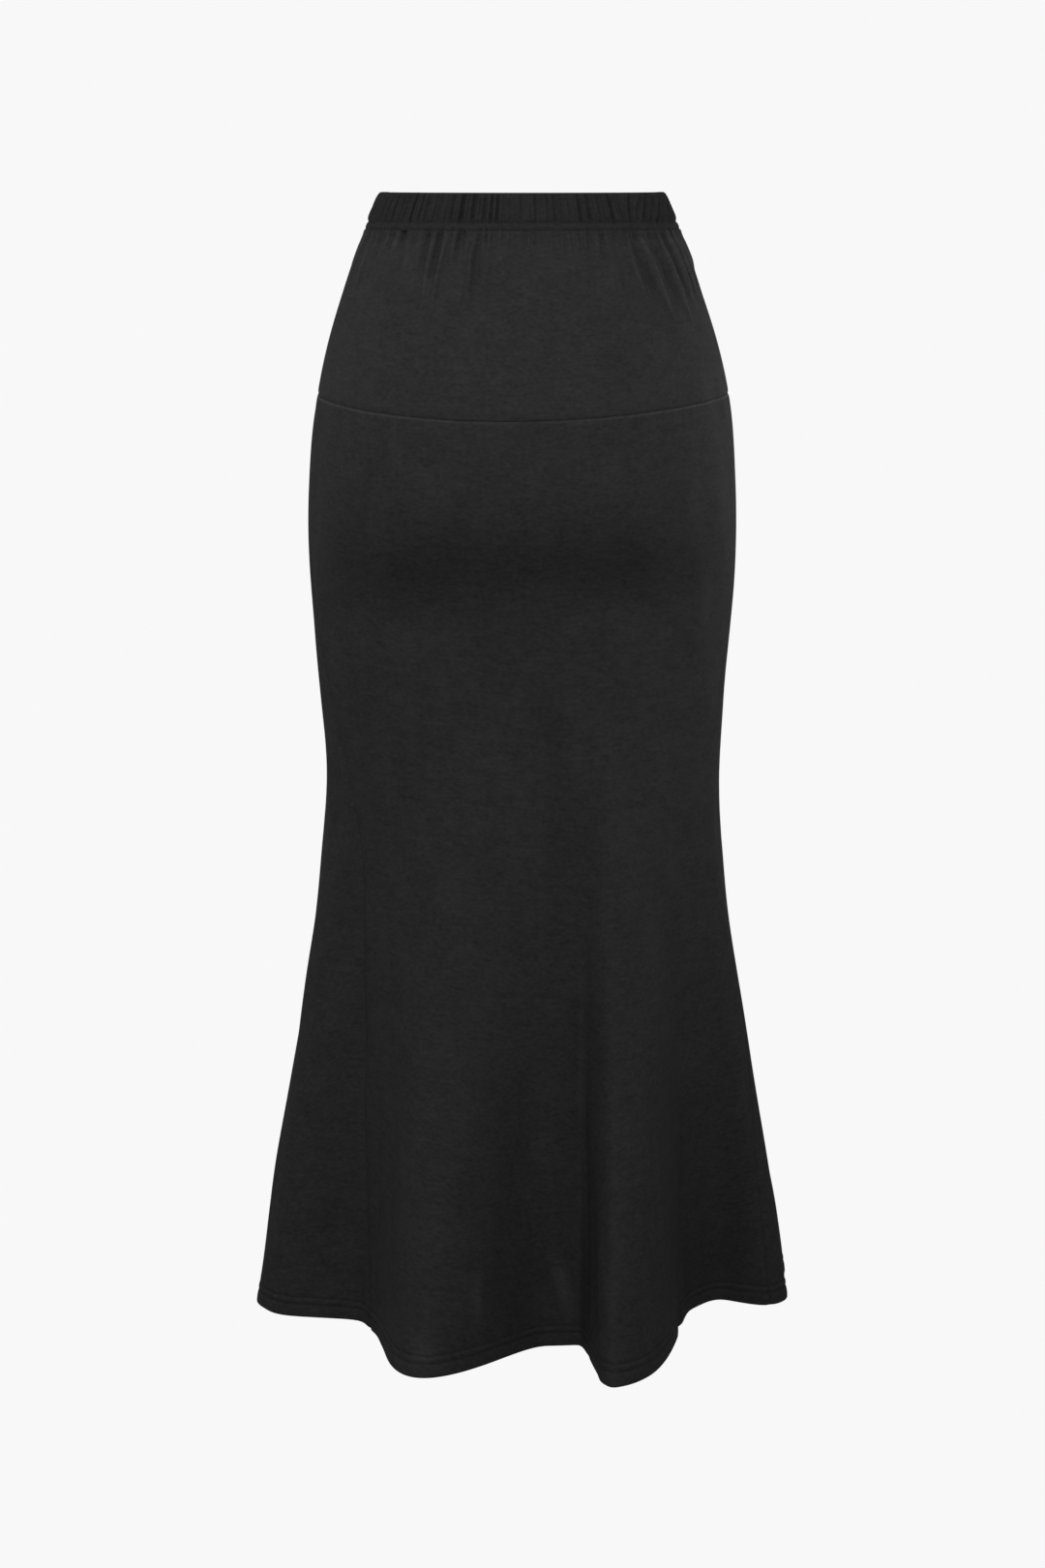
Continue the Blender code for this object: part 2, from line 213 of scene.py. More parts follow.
# Soft folds.  Each is a ridge, or a trough where push is negative, that runs from a top
# to a foot height between two angles in degrees, this wide to where it has fallen to a
# third, and dies away over a share of its length at each end.
Fold = namedtuple("Fold", "top foot top_angle foot_angle width push")
FADE = 0.4
YOKE_BACK_FOLDS = (
    Fold(-0.004, -0.062, -77, -75, 0.0030, 0.0024),
    Fold(-0.006, -0.070, -66, -66, 0.0028, 0.0024),
    Fold(-0.008, -0.052, -60, -60, 0.0030, -0.0024),
    Fold(-0.006, -0.034, -47, -47, 0.0030, -0.0030),
    Fold(-0.020, -0.056, -41, -40, 0.0032, 0.0018),
    Fold(-0.040, -0.078, -36.6, -36, 0.0040, 0.0015),
    Fold(-0.004, -0.062, -34.5, -34.5, 0.0024, -0.0021),
    Fold(-0.014, -0.082, -32.2, -31.5, 0.0026, 0.0021),
    Fold(-0.004, -0.058, -29.8, -30.0, 0.0024, -0.0024),
    Fold(-0.010, -0.092, -27.4, -28.4, 0.0026, 0.0027),
    Fold(-0.004, -0.048, -24.2, -24.2, 0.0024, 0.0018),
    Fold(-0.004, -0.046, -21, -21, 0.0024, -0.0021),
    Fold(-0.010, -0.080, -17.3, -17.4, 0.0028, 0.0027),
    Fold(-0.010, -0.076, -14.6, -15, 0.0028, -0.0018),
    Fold(-0.004, -0.078, -11.8, -12, 0.0026, 0.0021),
    Fold(-0.010, -0.076, -6.4, -6, 0.0030, 0.0015),
    Fold(-0.010, -0.050, 0, 0, 0.0030, 0.0009),
    Fold(-0.008, -0.052, 13, 12, 0.0034, -0.0009),
    Fold(-0.004, -0.048, 25.5, 25.5, 0.0030, 0.0015),
    Fold(-0.030, -0.082, 31, 32, 0.0034, 0.0015),
    Fold(-0.014, -0.088, 37.2, 42.0, 0.0028, 0.0024),
    Fold(-0.006, -0.084, 39.4, 47.8, 0.0026, -0.0033),
    Fold(-0.004, -0.088, 43.2, 51.4, 0.0022, 0.0039),
    Fold(-0.006, -0.084, 49.4, 56.2, 0.0028, -0.0033),
    Fold(-0.004, -0.092, 54.0, 60.4, 0.0022, 0.0045),
    Fold(-0.006, -0.080, 58.4, 63.0, 0.0024, -0.0033),
    Fold(-0.004, -0.082, 61.6, 66.2, 0.0020, 0.0039),
    Fold(-0.006, -0.074, 64.6, 69.4, 0.0024, -0.0030),
    Fold(-0.004, -0.076, 67.2, 72.4, 0.0022, 0.0033),
    Fold(-0.006, -0.070, 73.0, 77.4, 0.0026, 0.0021),
)
YOKE_FRONT_FOLDS = (
    Fold(-0.004, -0.060, 98, 99, 0.0034, 0.0033),
    Fold(-0.006, -0.074, 106, 106, 0.0030, -0.0027),
    Fold(-0.006, -0.088, 111, 112.5, 0.0030, 0.0036),
    Fold(-0.004, -0.058, 117, 118, 0.0028, -0.0024),
    Fold(-0.008, -0.080, 123, 123, 0.0030, 0.0024),
    Fold(-0.004, -0.046, 129, 129, 0.0026, -0.0021),
    Fold(-0.010, -0.070, 135, 136, 0.0030, 0.0021),
    Fold(-0.006, -0.054, 142, 142, 0.0028, -0.0018),
    Fold(-0.012, -0.084, 148, 147, 0.0032, 0.0018),
    Fold(-0.004, -0.050, 157, 157, 0.0030, 0.0012),
    Fold(-0.008, -0.060, 168, 167, 0.0032, -0.0012),
    Fold(-0.006, -0.052, 181, 181, 0.0030, 0.0012),
    Fold(-0.004, -0.066, 192, 193, 0.0030, -0.0015),
    Fold(-0.010, -0.082, 198, 198, 0.0032, 0.0021),
    Fold(-0.004, -0.048, 205, 205, 0.0026, -0.0021),
    Fold(-0.008, -0.078, 211, 210, 0.0028, 0.0024),
    Fold(-0.004, -0.070, 217, 216, 0.0026, -0.0030),
    Fold(-0.010, -0.090, 222, 221, 0.0030, 0.0030),
    Fold(-0.004, -0.056, 229, 229, 0.0028, -0.0024),
    Fold(-0.006, -0.072, 236, 236, 0.0030, 0.0027),
    Fold(-0.006, -0.064, 246, 247, 0.0032, -0.0027),
    Fold(-0.004, -0.080, 252, 253, 0.0034, 0.0033),
    Fold(-0.006, -0.056, 262, 262, 0.0034, -0.0024),
)
PANEL_BACK_FOLDS = (
    Fold(-0.330, -0.640, 3.5, 15.5, 0.0150, -0.00616),
    Fold(-0.560, -1.000, 16.0, 14.0, 0.0055, -0.00132),
    Fold(-0.640, -1.200, 18.8, 17.2, 0.0130, 0.00198),
    Fold(-0.330, -0.640, 22, 25, 0.0120, 0.00352),
    Fold(-0.340, -0.640, -21.6, -21.5, 0.0180, 0.00308),
    Fold(-0.400, -0.640, -48, -44, 0.0160, -0.00176),
    Fold(-0.640, -0.930, 31.5, 29.5, 0.0050, -0.00132),
    Fold(-0.760, -1.000, 43, 32, 0.0095, -0.00572),
    Fold(-0.700, -0.900, 6.5, 4.5, 0.0100, 0.00154),
    Fold(-0.560, -0.930, -33, -27, 0.0120, -0.00176),
    Fold(-0.600, -0.960, 58, 52, 0.0140, 0.00220),
    Fold(-0.230, -0.400, -52, -44, 0.0160, -0.00198),
    Fold(-0.225, -0.400, 50, 42, 0.0160, -0.00198),
)
PANEL_FRONT_FOLDS = (
    Fold(-0.300, -0.600, 176, 166, 0.0130, -0.00220),
    Fold(-0.320, -0.640, 152, 154, 0.0120, 0.00176),
    Fold(-0.330, -0.620, 205, 202, 0.0140, 0.00198),
    Fold(-0.560, -0.950, 160, 160, 0.0070, -0.00286),
    Fold(-0.600, -0.950, 196, 198, 0.0080, -0.00308),
    Fold(-0.700, -0.940, 110, 112, 0.0090, 0.00176),
    Fold(-0.760, -0.960, 140, 142, 0.0060, -0.00352),
    Fold(-0.640, -0.930, 186, 185, 0.0050, -0.00132),
    Fold(-0.780, -0.960, 246, 243, 0.0070, -0.00352),
    Fold(-0.600, -0.940, 262, 266, 0.0120, 0.00198),
    Fold(-0.840, -0.925, 174, 174, 0.0030, 0.00110),
    Fold(-0.220, -0.360, 118, 124, 0.0160, -0.00154),
    Fold(-0.220, -0.370, 240, 232, 0.0160, -0.00154),
)

# Round swellings of the seat, and hollows under it: how tall and wide each is to where
# it has fallen to a third
Swelling = namedtuple("Swelling", "z angle tall wide push")
SWELLINGS = (
    Swelling(-0.236, -22, 0.027, 0.048, 0.0030),
    Swelling(-0.230, 21, 0.027, 0.048, 0.0030),
    Swelling(-0.318, -31, 0.027, 0.044, -0.0050),
    Swelling(-0.308, 28, 0.026, 0.040, -0.0046),
)

# Slow waves over the whole skirt, worth a fraction of a millimetre in all: how often
# each comes round the skirt, and by how many radians it runs for each metre down
WAVES = 14
WAVE_HEIGHT = 0.00016
WAVES_ROUND = (6, 26)
WAVES_DOWN = (8.0, 70.0)
WAVE_SEED = 21

# The levels of the rows of stitches, those of the hem as heights above it, the grooves
# that they draw into the cloth, and how far the hem swells beside them
STITCH_ROWS_OF_CASING = (-0.0085, -0.0143)
STITCH_ROWS_OF_HEM = (0.0110, 0.0172)
CASING_GROOVE = 0.00075
CASING_GROOVE_WIDTH = 0.0009
HEM_GROOVE = 0.00050
HEM_GROOVE_WIDTH = 0.0013
HEM_BULGE = 0.00035

# How far the yoke's seam and the side seams draw the cloth in, and how far beside them
SEAM_PINCH = 0.0006
SEAM_PINCH_WIDTH = 0.0020
SIDE_SEAM_PINCH = 0.0014
SIDE_SEAM_PINCH_WIDTH = 0.0034

# Stitches of a six-sided thread of this radius.  Each has four stations: where it is as
# a share of the stitch's length, its share of the radius, and its height over the cloth.
STITCH_PITCH = 0.0031
STITCH_LENGTH = 0.0026
THREAD = 0.00020
THREAD_SIDES = 6
STATIONS = np.array([-0.5, -0.3, 0.3, 0.5])
STATION_RADII = THREAD * np.array([0.45, 1.0, 1.0, 0.45])
STATION_LIFTS = np.array([-0.00026, 0.00008, 0.00008, -0.00026])

# Mesh density: the rows and columns next to an edge, the first of them next to the
# casing's foot, those above the hem, and the steps between the rest
Steps = namedtuple("Steps", "down across")
NEAR_EDGE = (0.0, 0.00012, 0.0003, 0.00055, 0.0009, 0.0014, 0.0021, 0.0032, 0.0048)
NEAR_CASING_FOOT = NEAR_EDGE[:5]
HEM_ROWS = (
    0.0, 0.0001, 0.0003, 0.0006, 0.001, 0.0016, 0.0026, 0.004, 0.006, 0.008, 0.0096,
    0.0104, 0.011, 0.0116, 0.0124, 0.0138, 0.0152, 0.0162, 0.0168, 0.0172, 0.0176,
    0.0180, 0.0186, 0.0192, 0.02, 0.022, 0.025,
)
CASING_STEPS = Steps(0.00078, 0.00066)
YOKE_STEPS = Steps(0.0018, 0.00072)
PANEL_STEPS = {"back": Steps(0.0042, 0.0034), "front": Steps(0.0046, 0.0045)}

# How far to both sides a point is compared with the cloth, to see if it stands out
CREST_REACH = 0.005


def column(rows, field):
    """One named column of a table, as an array."""
    return np.array([getattr(row, field) for row in rows], float)


def through(z, rows, field):
    """A smooth curve through a table's column, as cubic pieces that share slopes."""
    heights = column(rows, "z")[::-1]
    values = column(rows, field)[::-1]
    slopes = np.gradient(values, heights)
    low = np.clip(np.searchsorted(heights, z) - 1, 0, len(heights) - 2)
    span = heights[low + 1] - heights[low]
    t = np.clip((z - heights[low]) / span, 0.0, 1.0)
    return (
        (2 * t**3 - 3 * t**2 + 1) * values[low]
        + (t**3 - 2 * t**2 + t) * span * slopes[low]
        + (3 * t**2 - 2 * t**3) * values[low + 1]
        + (t**3 - t**2) * span * slopes[low + 1]
    )


def hem_angle(z, angle):
    """Where on the hem the cloth at a point hangs down to: folds fall plumb.

    A fold keeps its place across the skirt while the rings widen round it, so its
    angle shrinks on the way down, most of all halfway between a middle and a side.
    """
    narrower = 1 - through(z, RINGS, "half_width") / RINGS[-1].half_width
    return angle - narrower * np.sin(2 * angle) / 2


def flute_share(flute, z, angle):
    """How much of a flute is felt: a raised cosine across it, growing to the hem."""
    turned = (np.degrees(hem_angle(z, angle)) - flute.centre + 180.0) % 360.0 - 180.0
    across = np.clip(turned / np.where(turned < 0, flute.left, flute.right), -1.0, 1.0)
    down = np.clip((flute.start - z) / (flute.start - HEM), 0.0, 1.0)
    return (0.5 + 0.5 * np.cos(np.pi * across)) * down**FLUTE_GROWTH


def outline(z, angle):
    """The cloth's plan at a height: an ellipse, swollen between its sides and middles.

    Each flute then moves it by its share of a push square to the ellipse, and of a lean
    along it.
    """
    z, angle = np.broadcast_arrays(z, angle)
    half_width = through(z, RINGS, "half_width")
    depth = np.where(
        np.cos(angle) > 0,
        through(z, RINGS, "back_depth"),
        through(z, RINGS, "front_depth"),
    )
    swell = 1 + through(z, RINGS, "corner") * (1 - np.cos(4 * angle)) / 2
    x = half_width * swell * np.sin(angle)
    y = -depth * swell * np.cos(angle)
    out_x = depth * np.sin(angle)
    out_y = -half_width * np.cos(angle)
    size = np.hypot(out_x, out_y)
    out_x, out_y = out_x / size, out_y / size
    for flute in FLUTES:
        share = flute_share(flute, z, angle)
        x = x + share * (flute.push * out_x - flute.lean * out_y)
        y = y + share * (flute.push * out_y + flute.lean * out_x)
    return x, y


def way_round(z, angle):
    """The direction of the outline as the angle grows, with its length."""
    x_before, y_before = outline(z, angle - SMALL_ANGLE)
    x_after, y_after = outline(z, angle + SMALL_ANGLE)
    turned = 2 * SMALL_ANGLE
    return (x_after - x_before) / turned, (y_after - y_before) / turned


def moved_out(z, angle, distance):
    """Points on the outline, moved out by a distance, level and square to the cloth."""
    x, y = outline(z, angle)
    along_x, along_y = way_round(z, angle)
    speed = np.hypot(along_x, along_y)
    return np.stack(
        [x + distance * along_y / speed, y - distance * along_x / speed, z + 0 * x],
        axis=-1,
    )


def walk(z, start, end):
    """Angles from start to end, and how far it is to each round the cloth at a height."""
    fine = np.linspace(start, end, RING_SAMPLES)
    x, y = outline(z, fine)
    return fine, np.concatenate(([0.0], np.cumsum(np.hypot(np.diff(x), np.diff(y)))))


def ring_length(z, start, end):
    """How far it is round the cloth from start to end at a height."""
    return walk(z, start, end)[1][-1]


def spread(z, start, end, shares):
    """Angles at shares of the way from start to end, measured along the cloth."""
    fine, walked = walk(z, start, end)
    return np.interp(shares * walked[-1], walked, fine)


def waist_drop(angle):
    """The waist dips a little towards the centre front."""
    return FRONT_WAIST_DROP * np.clip(-np.cos(angle), 0.0, 1.0) ** 2


def yoke_seam(angle):
    """The yoke's lower seam dips at the centre back and the centre front."""
    dip = np.cos(angle - YOKE_SEAM_DIP_CENTRE) ** 2
    return YOKE_SEAM_AT_SIDES - YOKE_SEAM_DIP * dip


# ------------------------ relief functions
def soft(share):
    """A smooth step: nought below 0, one above 1, and level at both."""
    share = np.clip(share, 0.0, 1.0)
    return share * share * (3 - 2 * share)


def bell(distance, width):
    """A bell curve that has fallen to about a third at its width."""
    return np.exp(-((distance / width) ** 2))


def away(angle, centre):
    """How far an angle is from a centre in degrees, the shorter way round."""
    return (angle - np.radians(centre) + np.pi) % FULL_TURN - np.pi


def folds(z, angle, table):
    """Soft ridges and troughs: a bell across each, with both its ends died away."""
    speed = np.hypot(*way_round(z, angle))
    relief = np.zeros_like(z)
    for fold in table:
        along = (fold.top - z) / (fold.top - fold.foot)
        centre = fold.top_angle + (fold.foot_angle - fold.top_angle) * along
        lasting = soft(along / FADE) * soft((1 - along) / FADE)
        relief += fold.push * lasting * bell(speed * away(angle, centre), fold.width)
    return relief


def swellings(z, angle):
    """Round swellings and hollows: a bell down the cloth times a bell across it."""
    speed = np.hypot(*way_round(z, angle))
    relief = np.zeros_like(z)
    for swelling in SWELLINGS:
        across = bell(speed * away(angle, swelling.angle), swelling.wide)
        relief += swelling.push * bell(z - swelling.z, swelling.tall) * across
    return relief


def slow_waves(z, angle):
    """Seeded waves, whole in number round the skirt, each running up or down as it goes."""
    draw = np.random.default_rng(WAVE_SEED)
    relief = np.zeros_like(z)
    for _ in range(WAVES):
        turns = draw.integers(*WAVES_ROUND)
        rise = draw.uniform(*WAVES_DOWN) * draw.choice((-1, 1))
        relief += np.cos(turns * angle + rise * z + draw.uniform(0, FULL_TURN))
    return WAVE_HEIGHT * relief


def uneven_ridges(start, end, count, seed):
    """Ridges between two angles in degrees, at uneven gaps."""
    gaps = np.random.default_rng(seed).uniform(*GAP_SPREAD, count + 1)
    return start + np.cumsum(gaps)[:-1] / gaps.sum() * (end - start)


def all_ridges(back_ridges, seed):
    """The ridges given for the back, and as many across the front at uneven gaps."""
    first, last, count = back_ridges[0], back_ridges[-1], len(back_ridges)
    return np.concatenate([back_ridges, uneven_ridges(last, first + 360, count, seed)])


def gather_wave(angle, ridges, seed):
    """Gathers: crests on the ridges, and between each two a valley of its own depth.

    The highest crest is at nought, and the deepest valley one below it.  A valley is a
    power of a half sine wave, so that crests are broad and valleys narrow.
    """
    count = len(ridges)
    draw = np.random.default_rng(seed)
    valleys = draw.uniform(SHALLOWEST_VALLEY, 1.0, count)
    crests = draw.uniform(LOWEST_CREST, 1.0, count)
    turned = (np.degrees(angle) - ridges[0]) % 360 + ridges[0]
    place = np.interp(turned, np.append(ridges, ridges[0] + 360), np.arange(count + 1))
    before = np.minimum(place.astype(int), count - 1)
    between = place - before
    crest = crests[before] * (1 - between) + crests[(before + 1) % count] * between
    wave = crest - 1 - valleys[before] * np.sin(np.pi * between) ** VALLEY_SHARPNESS
    return wave * (1 - FLATTENED_BY * bell(angle - FLATTEST_GATHERS, FLAT_STRETCH))


def fine_gathers(angle, seed):
    """The finer gather all round the skirt."""
    return gather_wave(angle, uneven_ridges(0, 360, FINE_RIDGES, seed), seed)


def leaning(z, angle):
    """The angle that a gather passing here has at the level where it is placed."""
    degrees = (np.degrees(angle) - LEAN_ANGLES[0]) % 360 + LEAN_ANGLES[0]
    return angle - np.radians(np.interp(degrees, LEAN_ANGLES, LEANS)) * (z - LEAN_LEVEL)


def puckers(below, angle):
    """Puckers gathered into the casing: less at the seam, most a little way below it."""
    grown = PUCKER_AT_SEAM + (1 - PUCKER_AT_SEAM) * soft(below / PUCKER_GROWTH)
    large = gather_wave(angle, all_ridges(YOKE_RIDGES, YOKE_SEED), YOKE_SEED)
    fine = fine_gathers(angle, FINE_PUCKER_SEED)
    return grown * (
        PUCKER_HEIGHT * large * bell(below, PUCKER_LENGTH)
        + FINE_PUCKER_HEIGHT * fine * bell(below, FINE_PUCKER_LENGTH)
    )


def casing_relief(z, angle):
    """The casing puffed out over its elastic, gathered, and held flat by two rows.

    From its upper row of stitching down it takes on the puckers of the yoke below.
    """
    level = z + waist_drop(angle)
    placed = leaning(level, angle)
    large = gather_wave(placed, all_ridges(CASING_RIDGES, CASING_SEED), CASING_SEED)
    gathers = GATHER_HEIGHT * large + FINE_GATHER_HEIGHT * fine_gathers(placed, FINE_GATHER_SEED)
    gathers *= (1 + DEEPER_AT_SIDES * np.sin(angle) ** 2) * through(level, CASING_ROWS, "gathered")
    upper_row = STITCH_ROWS_OF_CASING[0]
    meeting = soft((upper_row - level) / (upper_row - CASING_BOTTOM))
    relief = gathers * (1 - meeting) + puckers(0.0, angle) * meeting
    relief += through(level, CASING_ROWS, "outward") + slow_waves(z, angle)
    for row in STITCH_ROWS_OF_CASING:
        relief -= CASING_GROOVE * bell(level - row, CASING_GROOVE_WIDTH)
    return relief


def yoke_relief(z, angle):
    """Short puckers under the casing, and the longer folds that run down from them."""
    level = z + waist_drop(angle)
    return (
        puckers(CASING_BOTTOM - level, angle)
        + folds(level, angle, YOKE_BACK_FOLDS + YOKE_FRONT_FOLDS)
        + slow_waves(z, angle)
        - SEAM_PINCH * bell(z - yoke_seam(angle), SEAM_PINCH_WIDTH)
    )


def panel_relief(z, angle):
    """Long soft folds, and a hem that swells between its rows of stitching and below them.

    The two swellings are bells, each a third as wide as the band that it fills.
    """
    above = z - HEM
    low_row, high_row = STITCH_ROWS_OF_HEM
    swelling = bell(above - (low_row + high_row) / 2, (high_row - low_row) / 3)
    swelling += bell(above - low_row / 2, low_row / 3)
    grooves = sum(bell(above - row, HEM_GROOVE_WIDTH) for row in STITCH_ROWS_OF_HEM)
    return (
        folds(z, angle, PANEL_BACK_FOLDS + PANEL_FRONT_FOLDS)
        + swellings(z, angle)
        + slow_waves(z, angle)
        + HEM_BULGE * swelling
        - HEM_GROOVE * grooves
        - SEAM_PINCH * bell(z - yoke_seam(angle), SEAM_PINCH_WIDTH)
    )


# ------------------------ grids of the pieces
def crowded(length, near_start, near_end, step):
    """Shares of a length: close together at both ends, and even steps in between."""
    start = np.array(near_start)
    end = length - np.array(near_end)[::-1]
    count = max(int(round((end[0] - start[-1]) / step)), 2)
    middle = np.linspace(start[-1], end[0], count + 1)[1:-1]
    return np.concatenate([start, middle, end]) / length


def tucked(distance, radius):
    """How far a rounded edge has sunk at a distance from it: a quarter of a circle."""
    near = np.clip(1 - distance / radius, 0.0, EDGE_SHARE)
    return radius * (1 - np.sqrt(1 - near**2))


def shell(z, angle, relief, wall, edges, inner_share=1.0):
    """The outer and inner faces of a cloth wall, rounded towards each other at edges.

    edges holds the distance to the top and to the foot, and the radius that each is
    rounded to.  The first and the last column are side seams, which draw the cloth in.
    The inner face follows this share of the outer face's relief.
    """
    speed = np.hypot(*way_round(z, angle))
    for distance in (speed * (angle - angle[:, :1]), speed * (angle[:, -1:] - angle)):
        relief = relief - SIDE_SEAM_PINCH * bell(distance, SIDE_SEAM_PINCH_WIDTH)
        edges = [*edges, (distance, SEAM_EDGE)]
    sunk = np.max([tucked(distance, radius) for distance, radius in edges], axis=0)
    outer = moved_out(z, angle, relief - sunk)
    return outer, moved_out(z, angle, inner_share * relief - wall + sunk)


def casing_grids(start, end):
    """The casing between two side seams: level rows, and columns even along the cloth."""
    columns = crowded(ring_length(0.0, start, end), NEAR_EDGE, NEAR_EDGE, CASING_STEPS.across)
    angle = spread(0.0, start, end, columns)
    tall = CASING_TOP - CASING_BOTTOM
    rows = crowded(tall, NEAR_EDGE, NEAR_CASING_FOOT, CASING_STEPS.down)
    z = CASING_TOP - tall * rows[:, None] - waist_drop(angle)[None, :]
    angle = np.broadcast_to(angle, z.shape)
    level = z + waist_drop(angle)
    edges = [(CASING_TOP - level, ROLLED_EDGE), (level - CASING_BOTTOM, SEWN_ON_EDGE)]
    return shell(z, angle, casing_relief(z, angle), CASING_WALL, edges, CASING_INNER_SHARE)


def yoke_grids(start, end):
    """The yoke between two side seams: rows shared out from the casing's foot, where the
    columns are even along the cloth, to its own lower seam."""
    length = ring_length(CASING_BOTTOM, start, end)
    columns = crowded(length, NEAR_EDGE, NEAR_EDGE, YOKE_STEPS.across)
    angle = spread(CASING_BOTTOM, start, end, columns)
    tall = CASING_BOTTOM - YOKE_SEAM_AT_SIDES
    rows = crowded(tall, NEAR_EDGE, NEAR_EDGE, YOKE_STEPS.down)[:, None]
    top = CASING_BOTTOM - waist_drop(angle)
    z = top * (1 - rows) + yoke_seam(angle) * rows
    angle = np.broadcast_to(angle, z.shape)
    edges = [(top - z, SEWN_ON_EDGE), (z - yoke_seam(angle), SEAM_EDGE)]
    return shell(z, angle, yoke_relief(z, angle), JERSEY, edges)


def side_seam(heights, side):
    """The angle of the left or the right side seam of the panels at heights."""
    return np.radians(through(heights, SIDE_SEAMS, side))


def panel_grids(start_side, end_side, start_turn, end_turn, steps):
    """A panel between two side seams, from the yoke seam to the hem.

    Its columns are even along the yoke seam at the top and even along the fluted hem
    below the knee, so that they follow the cloth's own grain.
    """
    tall = YOKE_SEAM_AT_SIDES - HEM
    rows = crowded(tall, NEAR_EDGE, HEM_ROWS, steps.down)
    heights = YOKE_SEAM_AT_SIDES - tall * rows
    start = side_seam(heights, start_side) + start_turn
    end = side_seam(heights, end_side) + end_turn
    length = ring_length(HEM, start[-1], end[-1])
    columns = crowded(length, NEAR_EDGE, NEAR_EDGE, steps.across)
    at_top, at_hem = (
        (spread(z, start[row], end[row], columns) - start[row]) / (end[row] - start[row])
        for z, row in ((YOKE_SEAM_AT_SIDES, 0), (HEM, -1))
    )
    turned = soft((GRAIN_TURNS_FROM - heights) / GRAIN_TURNS_OVER)[:, None]
    angle = start[:, None] + (end - start)[:, None] * (at_top * (1 - turned) + at_hem * turned)
    z = yoke_seam(angle) + (HEM - yoke_seam(angle)) * rows[:, None]
    edges = [(yoke_seam(angle) - z, SEAM_EDGE), (z - HEM, HEM_EDGE)]
    doubled = soft((TURNED_HEM - (z - HEM)) / HEM_STEP + 0.5)
    wall = JERSEY + (DOUBLED_JERSEY - JERSEY) * doubled
    return shell(z, angle, panel_relief(z, angle), wall, edges)


# ------------------------ meshes
def rim_faces(grid, offset):
    """Quads that close a wall's four edges, from its outer to its inner face."""
    left_low, left_high = grid[1:, 0], grid[:-1, 0]
    right_low, right_high = grid[1:, -1], grid[:-1, -1]
    top, bottom = grid[0], grid[-1]
    strips = (
        (left_low, left_high, left_high + offset, left_low + offset),
        (right_low, right_low + offset, right_high + offset, right_high),
        (top[:-1], top[1:], top[1:] + offset, top[:-1] + offset),
        (bottom[1:], bottom[:-1], bottom[:-1] + offset, bottom[1:] + offset),
    )
    return np.concatenate([np.stack(strip, axis=1) for strip in strips])


def cloth_lengths(points):
    """How far each point of a grid is along the cloth: round from the middle column,
    and down from the first row."""
    across = np.linalg.norm(np.diff(points, axis=1), axis=-1)
    across = np.pad(np.cumsum(across, axis=1), ((0, 0), (1, 0)))
    across = across - across[:, points.shape[1] // 2, None]
    down = np.linalg.norm(np.diff(points, axis=0), axis=-1)
    return np.stack([across, np.pad(np.cumsum(down, axis=0), ((1, 0), (0, 0)))], axis=-1)


def standing_out(outer, inner):
    """How far each point of a grid stands out over the middle between the points that
    lie CREST_REACH to its left and to its right, outwards from the wall."""
    step = np.linalg.norm(np.diff(outer, axis=1), axis=-1).mean()
    reach = int(round(CREST_REACH / step))
    columns = np.arange(outer.shape[1])
    left = outer[:, np.clip(columns - reach, 0, columns[-1])]
    right = outer[:, np.clip(columns + reach, 0, columns[-1])]
    outward = (outer - inner) / np.linalg.norm(outer - inner, axis=-1, keepdims=True)
    return ((outer - (left + right) / 2) * outward).sum(axis=-1)


def put(name, data):
    """A new object with this data, at the origin of the scene."""
    made = bpy.data.objects.new(name, data)
    bpy.context.scene.collection.objects.link(made)
    return made


def write_mesh(name, points, faces, lengths, material):
    """A mesh with smooth faces and the cloth's own lengths, in metres, as its UV map."""
    mesh = bpy.data.meshes.new(name)
    mesh.from_pydata(points.tolist(), [], faces.tolist())
    corners = np.empty(len(mesh.loops), np.int32)
    mesh.loops.foreach_get("vertex_index", corners)
    grain = mesh.uv_layers.new(name="grain")
    grain.data.foreach_set("uv", lengths[corners].astype(np.float32).ravel())
    mesh.shade_smooth()
    mesh.materials.append(material)
    piece = put(name, mesh)
    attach(piece, "root")
    return piece


def cloth_piece(name, grids, material):
    """A closed wall between two grids of points with the same rows and columns.

    Its attribute "crest" says how far each of its points stands out.
    """
    outer, inner = grids
    rows, columns = outer.shape[:2]
    offset = rows * columns
    grid = np.arange(offset).reshape(rows, columns)
    outside = np.stack(
        [grid[:-1, :-1], grid[1:, :-1], grid[1:, 1:], grid[:-1, 1:]], axis=-1
    ).reshape(-1, 4)
    faces = np.concatenate([outside, outside[:, ::-1] + offset, rim_faces(grid, offset)])
    points = np.concatenate([outer.reshape(-1, 3), inner.reshape(-1, 3)])
    lengths = np.concatenate([cloth_lengths(side).reshape(-1, 2) for side in grids])
    piece = write_mesh(name, points, faces, lengths, material)
    crest = np.tile(standing_out(outer, inner).ravel(), 2).astype(np.float32)
    piece.data.attributes.new("crest", "FLOAT", "POINT").data.foreach_set("value", crest)
    return piece


def casing_level(angle):
    """The level that the heights on the casing are measured from."""
    return -waist_drop(angle)


def hem_level(angle):
    """The level of the hem's edge, which is the same all round."""
    return np.full_like(angle, HEM)


